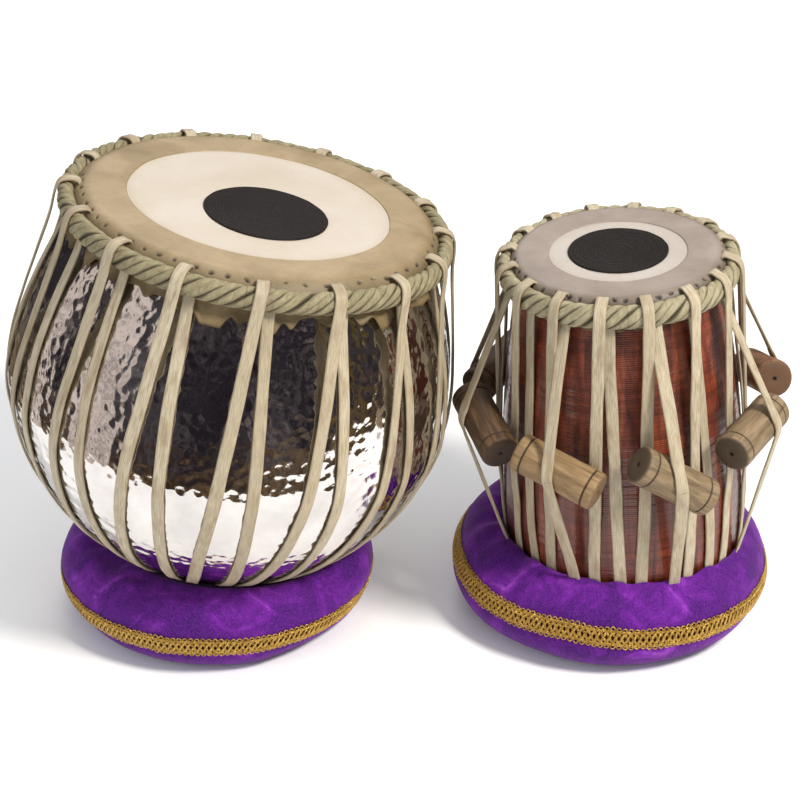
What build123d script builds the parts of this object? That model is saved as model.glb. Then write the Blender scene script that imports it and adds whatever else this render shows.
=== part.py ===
from build123d import *
import os
from math import atan2, cos, degrees, pi, radians, sin, sqrt, tan

# A tabla pair: a wooden treble drum and a chromed metal bass drum, each on a stuffed ring cushion.
# Millimetres. +Z is up and -Y is the player's side. Each drum is modelled in its own frame, with
# the head's centre at the origin and the drum's axis on Z, and is then leaned into its cushion.
# Azimuths are in degrees, from the front (-Y), positive towards +X.

os.makedirs("parts", exist_ok=True)

# ---------------------------------------------------------------- placing
treble_head = (146.1, 0.0, 273.4)  # centre of the treble head
treble_lean = -3.7  # about +Y
treble_ring = (150.7, 0.0)  # centre of the treble cushion
bass_head = (-93.2, 15.4, 301.2)
bass_lean = 10.5
bass_heading = 12.6  # the bass drum leans towards this angle from +X
bass_ring = (-131.0, 0.0)

# ---------------------------------------------------------------- heads and rims
loops = 16  # strap loops over each rim
loop_step = 360 / loops
strap_width = 9.5
strap_thickness = 1.8
skin_thickness = 0.8
paste_thickness = 1.6
gap = 0.2  # between layers that lie on each other
first_shift = 2.4  # an inner run starts this far in azimuth from its loop's top

treble_paste_radius = 33.0
treble_open_skin = 45.0  # the pale ring inside the edge skin
treble_edge = 68.0  # where the edge skin meets the rim
treble_phase = 10.0  # azimuth of one strap loop
treble_spread = 7.4  # azimuth from a loop's top to the foot of each of its two runs
treble_braid = (75.6, -9.6, 6.0, 9.4)  # section of the rim: radius, height, half width, half height

bass_paste_radius = 41.7
bass_paste_offset = (5.0, -16.0)
bass_open_skin = 88.4
bass_edge = 120.5
bass_phase = 4.0
bass_spread = 8.3
bass_braid = (127.3, -9.9, 6.0, 9.4)

# ---------------------------------------------------------------- treble shell
treble_neck = [(66.0, -4.0), (70.3, -28.0)]
treble_wall = [
    treble_neck[1],
    (75.8, -65.0),
    (80.0, -100.0),
    (82.7, -135.0),
    (84.0, -165.0),
    (83.6, -195.0),
    (81.2, -222.0),
]
treble_base = -244.0
treble_foot_radius = 78.3  # outside radius where the base's round edge starts
treble_foot_round = 6.0
treble_bore_top = 56.0  # the cavity's radius at the rim
treble_bore_low = 62.0
treble_floor = 46.0  # thickness of the solid wood under the cavity
treble_lip = 3.0  # the rim's top, below the head's surface

# ---------------------------------------------------------------- dowels
dowel_length = 61.0
dowel_radius = 13.2
dowel_round = 2.5
groove_inset = 7.5
groove_depth = 0.9
dowel_axis_radius = 100.9
dowel_azimuths = [-71, -29, 15, 55.5, 101, 150, 194, 234]
dowel_tilts = [15, 18, 37, -4, 19, 12, 20, 8]  # left end up, seen from outside
dowel_heights = [-109, -116.5, -123, -112, -110, -116, -108, -114]
dowel_loops = [-80, -35, 10, 55, 100, 145, 190, 235]  # the loop whose inner run holds each dowel
taut_slope = 0.029  # outward run of a taut strap for each unit down

# ---------------------------------------------------------------- bass bowl
bowl_centre = -118.8  # height of the centre of the bowl's round lower part
bowl_radius = 154.2
bowl_thickness = 1.8
bowl_flat = 145.0  # the flat bottom, below that centre
bowl_neck = [(118.0, -8.5), (121.6, -25.0)]
bowl_wall = [bowl_neck[1], (130.2, -44.0), (138.6, -66.0), (146.2, -92.0), (151.0, -122.0)]
bowl_join = -145.0  # the wall's height where its round lower part begins
bowl_lip = 3.0  # radius of the rolled edge
seat_gap = 1.0  # clearance between drum and cushion

# ---------------------------------------------------------------- bottom rings
treble_bottom_ring = (40.0, 4.4)  # radius, section radius
bass_bottom_ring = (30.0, 3.5)

# ---------------------------------------------------------------- cushions
ring_outer = 112.8
ring_half_width = 33.0
ring_top = 60.0
ring_middle = 28.0  # height of the section's centre: the flat underside is cut at 0
cover_thickness = 1.5
trim_width = 18.0
trim_thickness = 1.1


def spun(*edges):
    """The solid made by turning a closed outline in the XZ plane about Z."""
    return revolve(make_face(edges), Axis.Z)


def at(r, z):
    """A point of a section, from its radius and height."""
    return (r, 0, z)


def rect_ring(r_in, r_out, low, high):
    """A ring, or a disc when r_in is 0, of rectangular section."""
    disc = Pos(0, 0, (low + high) / 2) * Cylinder(r_out, high - low)
    if r_in == 0:
        return disc
    return disc - Pos(0, 0, (low + high) / 2) * Cylinder(r_in, high - low + 2)


def shifted(path, amount):
    """The points of a path, moved sideways: away from the drum for a path that runs down it."""
    moved = []
    for i, (r, z) in enumerate(path):
        before = path[max(i - 1, 0)]
        after = path[min(i + 1, len(path) - 1)]
        along = Vector(after[0] - before[0], after[1] - before[1]).normalized()
        moved.append((r - along.Y * amount, z + along.X * amount))
    return moved


def band(path, lift):
    """A strap's thickness spun along a path, lifted off it."""
    near = [at(*p) for p in shifted(path, lift)]
    far = [at(*p) for p in shifted(path, lift + strap_thickness)]
    return spun(
        Spline(*near), Line(near[-1], far[-1]), Spline(*far), Line(near[0], far[0])
    )


def turned(shape, azimuth):
    """A shape made at +X, turned to an azimuth."""
    return Rot(0, 0, azimuth - 90) * shape


def run_cutter(lean, top, low):
    """A slab at +X that leans sideways by lean degrees of azimuth between two (radius, height) points.
    Returns it with the azimuth that its top is turned by."""
    half = (top[1] - low[1]) / 2
    slope = radians(lean) / (half * (1 / top[0] + 1 / low[0]))
    turn = degrees(slope * half / top[0])
    slab = Box(150, strap_width, 2 * half + 80)
    slab = Pos(100, 0, top[1] - half) * Rot(-degrees(atan2(slope, 1)), 0, 0) * slab
    return slab, turn


def strap_runs(ring, lean, top, low, azimuths):
    """One strap run for each azimuth of its top, cut from a ring of strap."""
    slab, turn = run_cutter(lean, top, low)
    run = ring & slab
    return Compound(children=[turned(run, a - turn).solid() for a in azimuths])


def over_braid(braid):
    """The path over the outside of a rim's section, from its inner top to its widest point."""
    r, z, half_width, half_height = braid
    angles = [118, 90, 62, 34, 8]
    return [(r + half_width * cos(radians(a)), z + half_height * sin(radians(a))) for a in angles]


def braid_solid(braid):
    r, z, half_width, half_height = braid
    section = Pos(r, 0, z) * Rot(90, 0, 0) * Ellipse(half_width, half_height)
    return revolve(section, Axis.Z)


def torus(ring, height):
    return Pos(0, 0, height) * Torus(*ring)


def cap_skin(neck):
    """A head skin: a disc whose edge turns down over the rim and lies on the drum's neck."""
    top = -skin_thickness - gap
    under = top - skin_thickness
    near = neck[0][0] + gap
    far = near + skin_thickness
    low_near = neck[1][0] + gap
    low_far = low_near + skin_thickness
    outline = Polyline(
        at(0, top),
        at(far, top),
        at(far, neck[0][1]),
        at(low_far, neck[1][1]),
        at(low_near, neck[1][1]),
        at(near, neck[0][1]),
        at(near, under),
        at(0, under),
        close=True,
    )
    return spun(outline)


# ================================================================ treble drum
def treble_shell():
    foot = treble_foot_radius - treble_foot_round
    wall_foot = (treble_foot_radius, treble_base + treble_foot_round)
    body = spun(
        Line(at(0, -treble_lip - gap), at(treble_neck[0][0] - 2, -treble_lip - gap)),
        Line(at(treble_neck[0][0] - 2, -treble_lip - gap), at(*treble_neck[0])),
        Line(at(*treble_neck[0]), at(*treble_neck[1])),
        Spline(*[at(*p) for p in treble_wall], at(*wall_foot)),
        ThreePointArc(
            at(*wall_foot),
            at(
                foot + treble_foot_round * cos(pi / 4),
                treble_base + treble_foot_round * (1 - sin(pi / 4)),
            ),
            at(foot, treble_base),
        ),
        Line(at(foot, treble_base), at(0, treble_base)),
        Line(at(0, treble_base), at(0, -treble_lip - gap)),
    )
    depth = -treble_base - treble_floor
    cavity = Pos(0, 0, -depth / 2) * Cone(treble_bore_low, treble_bore_top, depth)
    return body - fillet(cavity.edges().sort_by(Axis.Z)[0], 25)


def treble_taut_path():
    """Outer runs: over the rim, straight down to the belly, then on the wall."""
    r = treble_braid[0] + treble_braid[2] + 0.4
    straight = [(r + taut_slope * (d - 14), -d) for d in (24, 60, 105, 150)]
    low = [(treble_wall[4][0] + 0.5, -168), (treble_wall[5][0] + 0.2, -195), treble_wall[6]]
    return over_braid(treble_braid) + straight + low + [(79.5, -233.5)]


def treble_bottom_loops():
    """The straps' turns round the foot, to the ring under the base."""
    foot = treble_foot_radius - treble_foot_round
    centre = treble_base + treble_foot_round
    r1 = treble_foot_round + gap
    r2 = r1 + strap_thickness
    ring_edge = sum(treble_bottom_ring) + gap
    half = sin(pi / 4)
    lean_out = 0.7  # the wall spreads upwards from the foot
    outline = make_face([
        Line(at(foot + r1 + lean_out, centre + 3), at(foot + r1, centre)),
        ThreePointArc(
            at(foot + r1, centre),
            at(foot + r1 * half, centre - r1 * half),
            at(foot, centre - r1),
        ),
        Line(at(foot, centre - r1), at(ring_edge, centre - r1)),
        Line(at(ring_edge, centre - r1), at(ring_edge, centre - r2)),
        Line(at(ring_edge, centre - r2), at(foot, centre - r2)),
        ThreePointArc(
            at(foot, centre - r2),
            at(foot + r2 * half, centre - r2 * half),
            at(foot + r2, centre),
        ),
        Line(at(foot + r2, centre), at(foot + r2 + lean_out, centre + 3)),
        Line(at(foot + r2 + lean_out, centre + 3), at(foot + r1 + lean_out, centre + 3)),
    ])
    return loop_sectors(outline, 13, treble_phase)


def loop_sectors(outline, width, phase):
    """Sixteen sectors of a spun outline, halfway between the loops' tops."""
    sector = revolve(Rot(0, 0, -width / 2) * outline, Axis.Z, revolution_arc=width)
    starts = [phase + (i + 0.5) * loop_step for i in range(loops)]
    return Compound(children=[turned(sector, a).solid() for a in starts])


def dowel():
    """A dowel along Y, with rounded ends and a turned groove near each."""
    body = Rot(90, 0, 0) * Cylinder(dowel_radius, dowel_length)
    body = fillet(body.edges().filter_by(GeomType.CIRCLE), dowel_round)
    for side in (-1, 1):
        y = side * (dowel_length / 2 - groove_inset)
        body -= Pos(0, y, 0) * Rot(90, 0, 0) * Torus(dowel_radius, groove_depth)
    return body


def placed_dowel(i):
    r = dowel_axis_radius + taut_slope * (-dowel_heights[i] - 115)
    set_down = Pos(r, 0, dowel_heights[i]) * Rot(-dowel_tilts[i], 0, 0)
    return turned(set_down * dowel(), dowel_azimuths[i])


def dowel_strap(i):
    """The inner run that holds a dowel: from beneath the rim, out over the dowel, and back to the wall."""
    lean = 1.2
    azimuth = dowel_loops[i] + 6.4
    offset = radians(azimuth - dowel_azimuths[i])
    side = dowel_axis_radius * tan(offset)
    middle = dowel_heights[i] - side * tan(radians(dowel_tilts[i]))
    half_strap = strap_width / 2
    spare = half_strap * tan(radians(abs(dowel_tilts[i])))
    reach = (dowel_axis_radius + dowel_radius + 1.2) / cos(offset) + half_strap * abs(sin(offset))
    half_high = dowel_radius * 0.62 + spare
    inner = [
        (74.2, -25.5),
        (reach, middle + half_high),
        (reach, middle - half_high),
        (83.2, -207.0),
        (81.1, -226.0),
    ]
    outer = [
        (74.2 + 2.2, -25.5),
        (reach + strap_thickness, middle + half_high + 0.8),
        (reach + strap_thickness, middle - half_high - 0.5),
        (83.2 + strap_thickness, -206.5),
        (81.1 + strap_thickness, -226.0),
    ]
    outline = make_face(Polyline(*[at(*p) for p in inner + outer[::-1]], close=True))
    strap = extrude(outline, strap_width / 2, both=True)
    pivot = Pos(0, 0, -120) * Rot(lean, 0, 0) * Pos(0, 0, 120)
    return turned(pivot * strap, azimuth)


def treble_parts():
    tops = [treble_phase + i * loop_step for i in range(loops)]
    held = [a for a in tops if any(abs((a - b + 180) % 360 - 180) < 1 for b in dowel_loops)]
    free = [a for a in tops if a not in held]
    taut = treble_taut_path()
    lying = [(73.9, -27.0), (76.9, -65.0), (80.6, -100.0)] + treble_wall[3:] + [(79.5, -233.5)]
    top, low = (80, 0), (80, -234)
    parts = {
        "dayan_shell": treble_shell(),
        "dayan_head_skin": cap_skin(treble_neck),
        "dayan_edge_skin": rect_ring(treble_open_skin, treble_edge, -skin_thickness, 0),
        "dayan_inner_lining": rect_ring(
            treble_open_skin + 3,
            treble_neck[0][0] - 2.5,
            -3 * skin_thickness - 2 * gap,
            -2 * skin_thickness - 2 * gap,
        ),
        "dayan_tuning_paste": rect_ring(
            0, treble_paste_radius, -skin_thickness, paste_thickness - skin_thickness
        ),
        "dayan_rim_braid": braid_solid(treble_braid),
        "dayan_bottom_ring": torus(treble_bottom_ring, treble_base - gap - treble_bottom_ring[1]),
        "dayan_outer_straps": strap_runs(band(taut, 0.3), treble_spread, top, low, tops),
        "dayan_inner_straps": strap_runs(
            band(lying, 0.3),
            first_shift - treble_spread,
            top,
            low,
            [a + first_shift for a in free],
        ),
        "dayan_bottom_loops": treble_bottom_loops(),
    }
    for i in range(len(dowel_azimuths)):
        parts[f"dowel_strap_{i + 1}"] = dowel_strap(i)
        parts[f"tuning_dowel_{i + 1}"] = placed_dowel(i)
    return parts


# ================================================================ bass drum
def on_sphere(radius, below):
    """The radius at a depth below the centre of the bowl's round part."""
    return sqrt(radius**2 - below**2)


def bowl_outline(inset):
    """The bowl's wall from lip to flat bottom, moved inwards, as edges, with its two ends."""
    radius = bowl_radius - inset
    join_depth = bowl_centre - bowl_join
    join = (on_sphere(radius, join_depth), bowl_join)
    flat_depth = bowl_flat - inset
    corner = (on_sphere(radius, flat_depth), bowl_centre - flat_depth)
    middle_depth = (join_depth + flat_depth) / 2
    upper = [(r - inset, z) for r, z in bowl_wall]
    top = (bowl_neck[0][0] - inset, bowl_neck[0][1])
    neck = Line(at(*top), at(*upper[0]))
    wall = Spline(
        *[at(*p) for p in upper],
        at(*join),
        tangents=[(0.35, 0, -1), (-join_depth / radius, 0, -1)],
    )
    lower = ThreePointArc(
        at(*join),
        at(on_sphere(radius, middle_depth), bowl_centre - middle_depth),
        at(*corner),
    )
    bottom = Line(at(*corner), at(0, corner[1]))
    return [neck, wall, lower, bottom], top, (0, corner[1])


def bass_bowl():
    outside, top_out, foot_out = bowl_outline(0)
    inside, top_in, foot_in = bowl_outline(bowl_thickness)
    shell = spun(
        *outside, Line(at(*foot_out), at(*foot_in)), *inside, Line(at(*top_in), at(*top_out))
    )
    bead_height = -3 * skin_thickness - 3 * gap - bowl_lip
    bead = torus((bowl_neck[0][0] - bowl_lip, bowl_lip), bead_height)
    collar = rect_ring(
        bowl_neck[0][0] - bowl_thickness, bowl_neck[0][0], bowl_neck[0][1] - 0.5, bead_height
    )
    return shell + collar + bead


def bass_lower_path(radius):
    """The straps' path on the round part of the bowl, down to where the loops begin."""
    depths = (28, 48, 68, 86, 102, 118)
    return [(on_sphere(radius, d), bowl_centre - d) for d in depths]


def bass_bottom_loops():
    r1 = bowl_radius + gap
    r2 = r1 + strap_thickness
    ring_edge = sum(bass_bottom_ring) + gap
    flat1 = bowl_flat + gap
    flat2 = flat1 + strap_thickness
    start, middle = 121.5, 134.0

    def point(radius, depth):
        return at(on_sphere(radius, depth), bowl_centre - depth)

    outline = make_face([
        ThreePointArc(point(r1, start), point(r1, middle), point(r1, flat1)),
        Line(point(r1, flat1), at(ring_edge, bowl_centre - flat1)),
        Line(at(ring_edge, bowl_centre - flat1), at(ring_edge, bowl_centre - flat2)),
        Line(at(ring_edge, bowl_centre - flat2), point(r2, flat2)),
        ThreePointArc(point(r2, flat2), point(r2, middle), point(r2, start)),
        Line(point(r2, start), point(r1, start)),
    ])
    return loop_sectors(outline, 11, bass_phase)


def bass_parts():
    tops = [bass_phase + i * loop_step for i in range(loops)]
    r = bass_braid[0] + bass_braid[2]
    taut = over_braid(bass_braid) + [(r + 1.8, -26), (141.2, -58), (147.4, -90), (151.7, -120)]
    taut += bass_lower_path(bowl_radius)
    lying = [(126.8, -27.0), (131.2, -44.0), (138.9, -66.0), (146.4, -92.0), (151.1, -122.0)]
    lying += bass_lower_path(bowl_radius)
    top, low = (130, 0), (98, -237)
    offset = bass_paste_offset
    return {
        "bayan_bowl": bass_bowl(),
        "bayan_head_skin": cap_skin(bowl_neck),
        "bayan_edge_skin": rect_ring(bass_open_skin, bass_edge, -skin_thickness, 0),
        "bayan_inner_lining": rect_ring(
            bass_open_skin + 4,
            bowl_neck[0][0] - 1,
            -3 * skin_thickness - 2 * gap,
            -2 * skin_thickness - 2 * gap,
        ),
        "bayan_tuning_paste": Pos(*offset, 0)
        * rect_ring(0, bass_paste_radius, -skin_thickness, paste_thickness - skin_thickness),
        "bayan_rim_braid": braid_solid(bass_braid),
        "bayan_bottom_ring": torus(
            bass_bottom_ring, bowl_centre - bowl_flat - gap - bass_bottom_ring[1]
        ),
        "bayan_outer_straps": strap_runs(band(taut, 0.3), bass_spread, top, low, tops),
        "bayan_inner_straps": strap_runs(
            band(lying, 0.5),
            first_shift - bass_spread,
            top,
            low,
            [a + first_shift for a in tops],
        ),
        "bayan_bottom_loops": bass_bottom_loops(),
    }


# ================================================================ cushions
def ring_section(shrink):
    """A ring cushion's section, an oval with a flat underside, at its own middle radius."""
    centre = ring_outer - ring_half_width
    oval = Ellipse(ring_half_width - shrink, ring_top - ring_middle - shrink)
    oval = Pos(centre, 0, ring_middle) * Rot(90, 0, 0) * oval
    floor = Pos(centre, 0, shrink - 100) * Rot(90, 0, 0) * Rectangle(200, 200)
    return oval - floor


def ring_parts(name, centre, hollow):
    """Cover, stuffing and trim of a cushion. hollow(spare) is the space that the drum takes in it."""
    place = Pos(*centre, 0)
    outside = place * revolve(ring_section(0), Axis.Z) - hollow(0)
    inside = place * revolve(ring_section(cover_thickness), Axis.Z) - hollow(cover_thickness)
    inner = cover_thickness + gap
    filling = place * revolve(ring_section(inner), Axis.Z) - hollow(inner)
    return {
        f"{name}_cushion_cover": outside - inside,
        f"{name}_cushion_filling": filling,
        f"{name}_cushion_trim": place * ring_trim(),
    }


def ring_trim():
    """Woven trim round the cushion's widest line."""
    centre = ring_outer - ring_half_width
    half_height = ring_top - ring_middle

    def point(lift, z):
        rise = (z - ring_middle) / half_height
        return at(centre + ring_half_width * sqrt(1 - rise**2) + lift, z)

    low, high = ring_middle - trim_width / 2, ring_middle + trim_width / 2
    near, far = gap, gap + trim_thickness
    return spun(
        ThreePointArc(point(near, low), point(near, ring_middle), point(near, high)),
        Line(point(near, high), point(far, high)),
        ThreePointArc(point(far, low), point(far, ring_middle), point(far, high)),
        Line(point(far, low), point(near, low)),
    )


# ================================================================ assembly
treble_place = Pos(*treble_head) * Rot(0, treble_lean, 0)
bass_place = (
    Pos(*bass_head) * Rot(0, 0, bass_heading) * Rot(0, bass_lean, 0) * Rot(0, 0, -bass_heading)
)
bass_middle = (bass_place * Pos(0, 0, bowl_centre)).position


def treble_hollow(spare):
    """The space of the treble drum's foot, with room to lift it straight out."""
    clear = seat_gap + spare
    outer = strap_thickness + gap + clear
    foot = treble_foot_radius + outer
    low = treble_base - outer
    ring_low = treble_base - 2 * treble_bottom_ring[1] - gap - clear
    ring_edge = sum(treble_bottom_ring) + clear
    return treble_place * spun(
        Line(at(0, ring_low), at(ring_edge, ring_low)),
        Line(at(ring_edge, ring_low), at(ring_edge, low)),
        Line(at(ring_edge, low), at(foot - 5, low)),
        Line(at(foot - 5, low), at(foot, low + 5)),
        Line(at(foot, low + 5), at(treble_wall[6][0] + outer, -222)),
        Line(at(treble_wall[6][0] + outer, -222), at(treble_wall[5][0] + outer + 0.5, -195)),
        Line(at(treble_wall[5][0] + outer + 0.5, -195), at(0, -195)),
        Line(at(0, -195), at(0, ring_low)),
    )


def bass_hollow(spare):
    """The round space that the bass drum rocks in."""
    radius = bowl_radius + gap + strap_thickness + seat_gap + spare
    return Pos(bass_middle) * Sphere(radius)


def build():
    parts = {}
    parts.update(ring_parts("dayan", treble_ring, treble_hollow))
    parts.update(ring_parts("bayan", bass_ring, bass_hollow))
    parts.update({name: treble_place * shape for name, shape in treble_parts().items()})
    parts.update({name: bass_place * shape for name, shape in bass_parts().items()})
    box = Compound(children=[Compound(list(s.solids())) for s in parts.values()]).bounding_box()
    shift = Pos(-box.center().X, -box.center().Y, 0)
    parts = {name: shift * shape for name, shape in parts.items()}
    return parts, shift.position


parts, origin_shift = build()
for name, shape in parts.items():
    export_step(shape, f"parts/{name}.step")

tilt_centre = bass_middle + origin_shift
slide_axes = []
for azimuth in dowel_azimuths:
    down = Vector(taut_slope * sin(radians(azimuth)), -taut_slope * cos(radians(azimuth)), -1)
    slide_axes.append((Rot(0, treble_lean, 0) * Pos(down)).position.normalized())
print("origin shift", origin_shift)
print("bass drum rocks about", tilt_centre)
for i, axis in enumerate(slide_axes):
    print("dowel", i + 1, "slides along", axis)
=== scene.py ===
"""The looks of a tabla pair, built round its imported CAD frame.

Lengths are millimetres in each drum's own frame (head's centre at the origin, axis on Z, azimuths in
degrees from the front, -Y, positive towards +X), and become metres when a mesh is made.
"""

import random
from math import cos, pi, radians, sin, sqrt

import bmesh
import bpy
import numpy as np
from mathutils import Matrix, Vector
from mathutils.bvhtree import BVHTree
from mathutils.kdtree import KDTree


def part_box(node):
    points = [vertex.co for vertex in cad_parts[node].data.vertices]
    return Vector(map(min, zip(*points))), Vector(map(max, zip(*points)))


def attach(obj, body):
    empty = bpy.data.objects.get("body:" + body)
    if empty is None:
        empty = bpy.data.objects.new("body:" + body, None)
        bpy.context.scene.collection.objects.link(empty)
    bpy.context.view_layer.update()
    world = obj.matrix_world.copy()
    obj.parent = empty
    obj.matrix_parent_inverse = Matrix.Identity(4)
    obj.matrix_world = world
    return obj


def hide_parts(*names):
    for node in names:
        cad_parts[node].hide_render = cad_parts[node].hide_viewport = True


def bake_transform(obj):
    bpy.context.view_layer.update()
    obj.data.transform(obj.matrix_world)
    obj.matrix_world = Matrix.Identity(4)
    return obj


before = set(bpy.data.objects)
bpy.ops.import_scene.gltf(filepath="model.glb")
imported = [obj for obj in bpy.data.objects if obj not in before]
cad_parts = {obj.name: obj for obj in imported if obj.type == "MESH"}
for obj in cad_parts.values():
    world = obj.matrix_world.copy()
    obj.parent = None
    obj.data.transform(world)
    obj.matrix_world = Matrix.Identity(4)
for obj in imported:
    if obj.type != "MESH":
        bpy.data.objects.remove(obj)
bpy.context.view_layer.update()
MM = 0.001

# ---------------------------------------------------------------- sizes shared with the CAD model
loops = 16
loop_step = 360 / loops
strap_width = 9.5
strap_thickness = 1.8

treble_braid_depth = 9.6  # how far the middle of the CAD's plain rim is under the head's centre
treble_rope = (75.9, -11.2, 5.7, 8.6)  # the twisted rim: radius, height, half width, half height
treble_opening = 46.0  # the radius inside the edge skin
treble_strap_start = 82.0
treble_hole_path = [(69.7, -5.0), (70.0, -2.0), (71.4, -0.8), (73.5, -1.5)]
treble_phase = 10.0
treble_outer_lean = -7.4
treble_inner_lean = 5.4
treble_lip = (66.0, -4.0)
treble_wall = [
    (70.3, -28.0),
    (75.8, -65.0),
    (80.0, -100.0),
    (82.7, -135.0),
    (84.0, -165.0),
    (83.6, -195.0),
    (81.2, -222.0),
]
treble_base = -244.0
treble_foot = (72.3, treble_base + 6)  # the centre of the foot's rounded corner

bass_braid_depth = 9.9
bass_rope = (127.8, -11.5, 5.8, 8.2)
bass_opening = 88.4
bass_strap_start = 135.1
bass_hole_path = [(119.7, -8.2), (120.0, -4.8), (121.4, -3.0), (124.2, -2.7)]
bass_phase = 4.0
bass_outer_lean = -8.3
bass_inner_lean = 5.6
bowl_centre = -118.8
bowl_radius = 154.2
bowl_flat = 145.0
bowl_wall = [
    (118.0, -8.5),
    (121.6, -25.0),
    (130.2, -44.0),
    (138.6, -66.0),
    (146.2, -92.0),
    (151.0, -122.0),
]

dowel_length = 61.0
dowel_radius = 13.2
dowel_axis_radius = 100.9
dowel_azimuths = [-71, -29, 15, 55.5, 101, 150, 194, 234]
dowel_tilts = [15, 18, 37, -4, 19, 12, 20, 8]
dowel_heights = [-109, -116.5, -123, -112, -110, -116, -108, -114]
dowel_loops = [-80, -35, 10, 55, 100, 145, 190, 235]
# The dowels on the left, away from the key lamp, take the dark wood: partly a darker wood, partly painted
# shade.
dowel_woods = ["dark", "light", "grey", "grey", "red", "light", "dark", "dark"]
taut_slope = 0.029
first_shift = 2.6

ring_outer = 112.8
ring_half_width = 33.0
ring_top = 60.0
ring_middle = 28.0


# ================================================================ mesh helpers
def lengths(points):
    """The distance along a polyline to each of its points."""
    return np.r_[0, np.cumsum(np.linalg.norm(np.diff(points, axis=0), axis=1))]


def smooth_path(points, count):
    """Evenly spaced points on a smooth curve through the given ones."""
    p = np.array(points, float)
    t = lengths(p)
    slope = np.gradient(p, t, axis=0)
    fine = np.linspace(0, t[-1], 40 * len(p))
    i = np.clip(np.searchsorted(t, fine) - 1, 0, len(p) - 2)
    step = (t[i + 1] - t[i])[:, None]
    u = (fine - t[i])[:, None] / step
    curve = (2 * u**3 - 3 * u**2 + 1) * p[i] + (u**3 - 2 * u**2 + u) * step * slope[i]
    curve += (3 * u**2 - 2 * u**3) * p[i + 1] + (u**3 - u**2) * step * slope[i + 1]
    return evenly(curve, count)


def evenly(points, count):
    """A polyline's points, moved to be evenly spaced along it."""
    length = lengths(points)
    at = np.linspace(0, length[-1], count)
    return np.stack([np.interp(at, length, points[:, k]) for k in range(points.shape[1])], 1)


def unit(v):
    return v / np.maximum(np.linalg.norm(v, axis=-1, keepdims=True), 1e-9)


def swung(r, z, azimuth):
    """Points at a radius, height and azimuth in degrees."""
    a = np.radians(azimuth)
    return np.stack(np.broadcast_arrays(r * np.sin(a), -r * np.cos(a), z), -1)


def lifted(path, amount):
    """A section path moved to its left, which is outwards for a path that runs down a drum."""
    along = unit(np.gradient(path, axis=0))
    return path + np.stack([-along[:, 1], along[:, 0]], 1) * amount


def wobble(turns, seed, low=1, high=6):
    """A smooth curve between about -1 and 1 that repeats every turn."""
    r = random.Random(seed)
    total = 0.0
    weight = 0.0
    for k in range(low, high + 1):
        size = r.uniform(0.4, 1.0) / sqrt(k)
        total = total + size * np.sin(2 * pi * (k * turns + r.random()))
        weight += size * size
    return total / sqrt(weight * 2)


class Mesh:
    """Collects grids of points into one mesh, with a float attribute or two on its points."""

    def __init__(self):
        self.points = []
        self.faces = []
        self.values = {}
        self.count = 0

    def grid(self, points, wrap_u=False, wrap_v=False, caps=False, **values):
        nu, nv = points.shape[:2]
        index = np.arange(nu * nv).reshape(nu, nv) + self.count
        rows = np.vstack([index, index[:1]]) if wrap_u else index
        rows = np.hstack([rows, rows[:, :1]]) if wrap_v else rows
        quads = np.stack([rows[:-1, :-1], rows[1:, :-1], rows[1:, 1:], rows[:-1, 1:]], -1)
        self.faces += quads.reshape(-1, 4).tolist()
        if caps:
            self.faces += [index[0].tolist(), index[-1][::-1].tolist()]
        for name, value in values.items():
            flat = np.broadcast_to(value, (nu, nv)).reshape(-1)
            self.values.setdefault(name, []).append((self.count, flat))
        self.points.append(points.reshape(-1, 3))
        self.count += nu * nv
        return index

    def make(self, name, material, place=None, weld=False, fixed=False):
        """The object, with its mesh in metres and smooth faces that look outwards.

        A fixed place moves the mesh's points instead of the object, so that its box is exact.
        """
        mesh = bpy.data.meshes.new(name)
        points = np.vstack(self.points) * MM
        if fixed:
            turn = np.array(place)
            points = points @ turn[:3, :3].T + turn[:3, 3]
            place = None
        mesh.from_pydata(points.tolist(), [], self.faces)
        for key, chunks in self.values.items():
            full = np.zeros(self.count, np.float32)
            for start, flat in chunks:
                full[start : start + len(flat)] = flat
            mesh.attributes.new(key, "FLOAT", "POINT").data.foreach_set("value", full)
        work = bmesh.new()
        work.from_mesh(mesh)
        if weld:
            bmesh.ops.remove_doubles(work, verts=work.verts, dist=1e-7)
        bmesh.ops.recalc_face_normals(work, faces=work.faces)
        work.to_mesh(mesh)
        work.free()
        mesh.polygons.foreach_set("use_smooth", [p.loop_total <= 4 for p in mesh.polygons])
        obj = bpy.data.objects.new(name, mesh)
        bpy.context.scene.collection.objects.link(obj)
        mesh.materials.append(material)
        if place is not None:
            obj.matrix_world = place
        return obj


def lathe_points(section, azimuths):
    """A grid of points: one row for each azimuth, one column for each (radius, height) of a section."""
    section = np.asarray(section, float)
    return swung(section[None, :, 0], section[None, :, 1], np.asarray(azimuths)[:, None])


def around(count):
    return np.linspace(0, 360, count, endpoint=False)


STRAP_SECTION = [
    (-1.0, 0.0),
    (-0.95, 0.62),
    (-0.8, 1.02),
    (-0.45, 1.0),
    (0.0, 0.86),
    (0.45, 1.0),
    (0.8, 1.02),
    (0.95, 0.62),
    (1.0, 0.0),
    (0.9, -0.8),
    (0.4, -1.0),
    (-0.4, -1.0),
    (-0.9, -0.8),
]


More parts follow.
